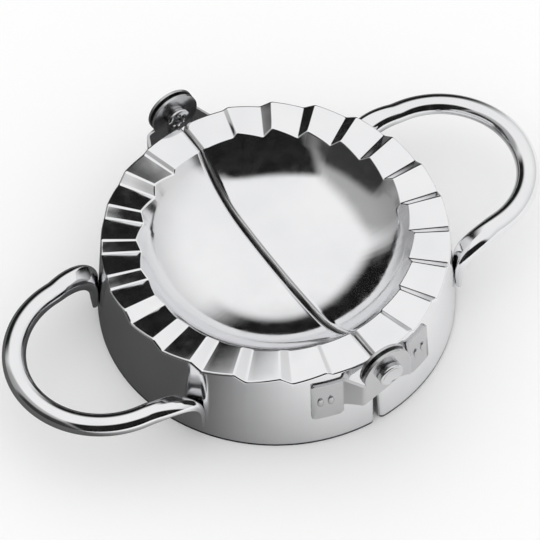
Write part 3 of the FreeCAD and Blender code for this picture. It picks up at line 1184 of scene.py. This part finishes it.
@dataclass(frozen=True)
class PhotoCamera:
    """Camera at the photograph's place."""

    azimuth: float = -32.86
    elevation: float = 53.35
    roll: float = -0.763
    distance: float = 883.0
    lens: float = 213.8
    target: Vector = Vector((0, 0, 12))
    aside: float = -1.69
    above: float = 0.27
    sensor: float = 36
    nearest: float = 50
    farthest: float = 20000

    def make(self) -> None:
        """Add the camera to the scene and use it."""
        turn, rise, roll = (math.radians(a) for a in (self.azimuth, self.elevation, self.roll))
        back = Vector((math.sin(turn) * math.cos(rise), -math.cos(turn) * math.cos(rise), math.sin(rise)))
        level = Vector((math.cos(turn), math.sin(turn), 0))
        upright = back.cross(level)
        right = level * math.cos(roll) + upright * math.sin(roll)
        up = upright * math.cos(roll) - level * math.sin(roll)
        place = self.target + back * self.distance
        aim = self.target + right * self.aside + up * self.above
        back = (place - aim).normalized()
        right = up.cross(back).normalized()
        up = back.cross(right)
        lens = bpy.data.cameras.new("photo_camera")
        lens.lens = self.lens
        lens.sensor_width = self.sensor
        lens.clip_start = self.nearest * MM
        lens.clip_end = self.farthest * MM
        camera = linked("photo_camera", lens)
        turn_matrix = Matrix((right, up, back)).transposed().to_4x4()
        camera.matrix_world = Matrix.Translation(place * MM) @ turn_matrix
        bpy.context.scene.camera = camera


def heading(azimuth: float, elevation: float) -> Vector:
    """Direction with an azimuth from +X towards +Y and an elevation, in degrees."""
    turn, rise = math.radians(azimuth), math.radians(elevation)
    return Vector((math.cos(turn) * math.cos(rise), math.sin(turn) * math.cos(rise), math.sin(rise)))


@dataclass(frozen=True)
class DarkBoard:
    """Dark board of the studio as bright steel mirrors it: a convex area of the surroundings.

    Attributes:
        name: What the board is.
        corners: Its corners as azimuth from +X towards +Y and elevation, in degrees.
        softness: Sine of the angle over which an edge fades.
        depth: How dark the board is, from 0 to 1.
    """

    name: str
    corners: tuple[tuple[float, float], ...]
    softness: float
    depth: float

    def edges(self) -> list[Vector]:
        """Directions square to the edge planes, each pointing into the board."""
        ways = [heading(*corner) for corner in self.corners]
        middle = sum(ways, Vector((0, 0, 0)))
        squares = [here.cross(there).normalized() for here, there in zip(ways, ways[1:] + ways[:1])]
        return [square if square.dot(middle) > 0 else -square for square in squares]

    def light(self, kit: NodeKit, direction: Socket, room: Feed) -> Socket:
        """Light of the room with the board in front of it.

        Args:
            kit: Nodes of the world.
            direction: Where the ray goes.
            room: Light without the board.

        Returns:
            The light that is left.
        """
        fades = [kit.ramp(kit.dot(direction, edge), (-0.5 * self.softness, 0.5 * self.softness))
                 for edge in self.edges()]
        mask = reduce(lambda whole, fade: kit.maths("MULTIPLY", whole, fade), fades)
        return kit.maths("MULTIPLY", room, kit.maths("MULTIPLY_ADD", mask, -self.depth, 1))


# Read from the dark areas that the photo's bowl mirrors
FAR_BOARD = DarkBoard("dark far wall", ((36, -10), (44, 36), (108, 35), (122, -10)), 0.26, 0.99)
CAMERA_BOARD = DarkBoard(
    "camera and its screen", ((190, 51), (284, 57), (297, 28), (299, -10), (222, -10)), 0.16, 0.99,
)
DOORWAY = DarkBoard("dark doorway on the left", ((146, -10), (150, 26), (196, 38), (222, -10)), 0.2, 0.9)
SIDE_CURTAIN = DarkBoard("grey side curtain", ((122, -10), (118, 42), (195, 50), (224, -10)), 0.30, 0.55)


@dataclass(frozen=True)
class Studio:
    """White floor and the bright room with dark boards that polished steel mirrors.

    Attributes:
        floor_size: Side of the floor, in metres.
        floor_parts: Squares along each side of the floor.
        floor_grey: Grey of the floor.
        shade_way: Direction in which the mirrored floor brightens.
        shade_reach: Range of distances over which it does, in metres.
        shade_grey: Grey of its dark end.
        room_rise: Height of a ray at which the room is brightest.
        room_grey: Grey of the room at the horizon and overhead.
        light: Strength of the even light.
        boards: Dark boards.
    """

    floor_size: float = 6.0
    floor_parts: int = 8
    floor_grey: float = 1.0
    shade_way: tuple[float, float, float] = (0.55, -0.83, 0)
    shade_reach: tuple[float, float] = (-0.02, 0.06)
    shade_grey: float = 0.12
    room_rise: float = 0.75
    room_grey: tuple[float, float] = (0.72, 0.97)
    light: float = 1.0
    boards: tuple[DarkBoard, ...] = (FAR_BOARD, CAMERA_BOARD, DOORWAY, SIDE_CURTAIN)

    def make_floor(self) -> None:
        """Pale floor under the press."""
        bm = bmesh.new()
        parts = self.floor_parts
        bmesh.ops.create_grid(bm, x_segments=parts, y_segments=parts, size=0.5 * self.floor_size)
        floor = emptied(bm, "studio_floor", "studio_floor_mesh")
        material = bpy.data.materials.new("pale_floor")
        material.use_nodes = True
        shader = material.node_tree.nodes["Principled BSDF"]
        shader.inputs["Base Color"].default_value = (self.floor_grey, self.floor_grey, self.floor_grey, 1)
        shader.inputs["Roughness"].default_value = 1
        shader.inputs["Specular IOR Level"].default_value = 0
        self.shade_floor(material.node_tree, shader)
        floor.data.materials.append(material)

    def shade_floor(self, tree: bpy.types.NodeTree, shader: bpy.types.Node) -> None:
        """Let the steel mirror a floor that falls into shade behind and left of the press.

        Args:
            tree: Node tree of the floor's material.
            shader: Its surface shader, which stays white to the camera.
        """
        kit = NodeKit(tree)
        along = kit.dot(kit.add("TexCoord").outputs["Object"], self.shade_way)
        grey = kit.ramp(along, self.shade_reach, (self.shade_grey, self.floor_grey))
        mirrored = kit.result(kit.add("BsdfDiffuse"), grey)
        glossy = kit.add("LightPath").outputs["Is Glossy Ray"]
        surface = kit.result(kit.add("MixShader"), glossy, shader.outputs["BSDF"], mirrored)
        kit.feed(tree.nodes["Material Output"].inputs["Surface"], surface)

    def make_world(self) -> None:
        """White to the camera, even light for the floor, and the room for polished steel."""
        world = bpy.data.worlds.new("studio_world")
        bpy.context.scene.world = world
        world.use_nodes = True
        world.node_tree.nodes.clear()
        kit = NodeKit(world.node_tree)
        direction = kit.add("TexCoord").outputs["Generated"]
        room = kit.ramp(kit.axes(direction)["Z"], (0, self.room_rise), self.room_grey)
        for board in self.boards:
            room = board.light(kit, direction, room)
        mirrored = kit.result(kit.add("Background"), room)
        white = kit.result(kit.add("Background"), (self.light, self.light, self.light, 1))
        glossy = kit.add("LightPath").outputs["Is Glossy Ray"]
        both = kit.result(kit.add("MixShader"), glossy, white, mirrored)
        kit.feed(kit.add("OutputWorld").inputs["Surface"], both)

    def make(self) -> None:
        """Floor, world and view settings."""
        self.make_floor()
        self.make_world()
        bpy.context.scene.view_settings.view_transform = "Standard"


# The pressed halves carry a painted contact shadow along the skirt's lower edge
MIRROR = SteelFinish("pressed_mirror_steel", 0.88, 0.1, 0.04, 0.02, 0.001, contact_shadow=0.9, seam=Seam())
LOOP = SteelFinish("polished_handle_steel", 0.86, 0.09, 0.04, 0.02, 0.0006)
SATIN = SteelFinish("satin_bracket_steel", 0.57, 0.22, 0.05, 0.01, 0.002)
BRIGHT = SteelFinish("tumbled_rivet_steel", 0.66, 0.14, 0.03, 0.01, 0.0006)


def main() -> None:
    """Build the studio and every piece of the press."""
    logging.basicConfig(level=logging.INFO, format="%(message)s")
    PhotoCamera().make()
    Studio().make()
    mirror, loop, satin, bright = (finish.material() for finish in (MIRROR, LOOP, SATIN, BRIGHT))
    shell = HalfShell()
    handle = LoopHandle()
    welds = WeldSpots()
    for side in Side:
        ShellPiece(side.value + "_shell", side, shell).make(mirror)
        HandlePiece(side.value + "_handle", side, handle).make(loop)
        for end in ("front", "back"):
            BracketPiece(f"{side.value}_{end}_bracket", side, welds).make(satin)
    rivet = HingeRivet()
    RivetPiece("front_rivet", Side.LEFT, rivet).make(bright)
    RivetPiece("back_rivet", Side.RIGHT, rivet).make(bright)


if __name__ == "__main__":
    main()
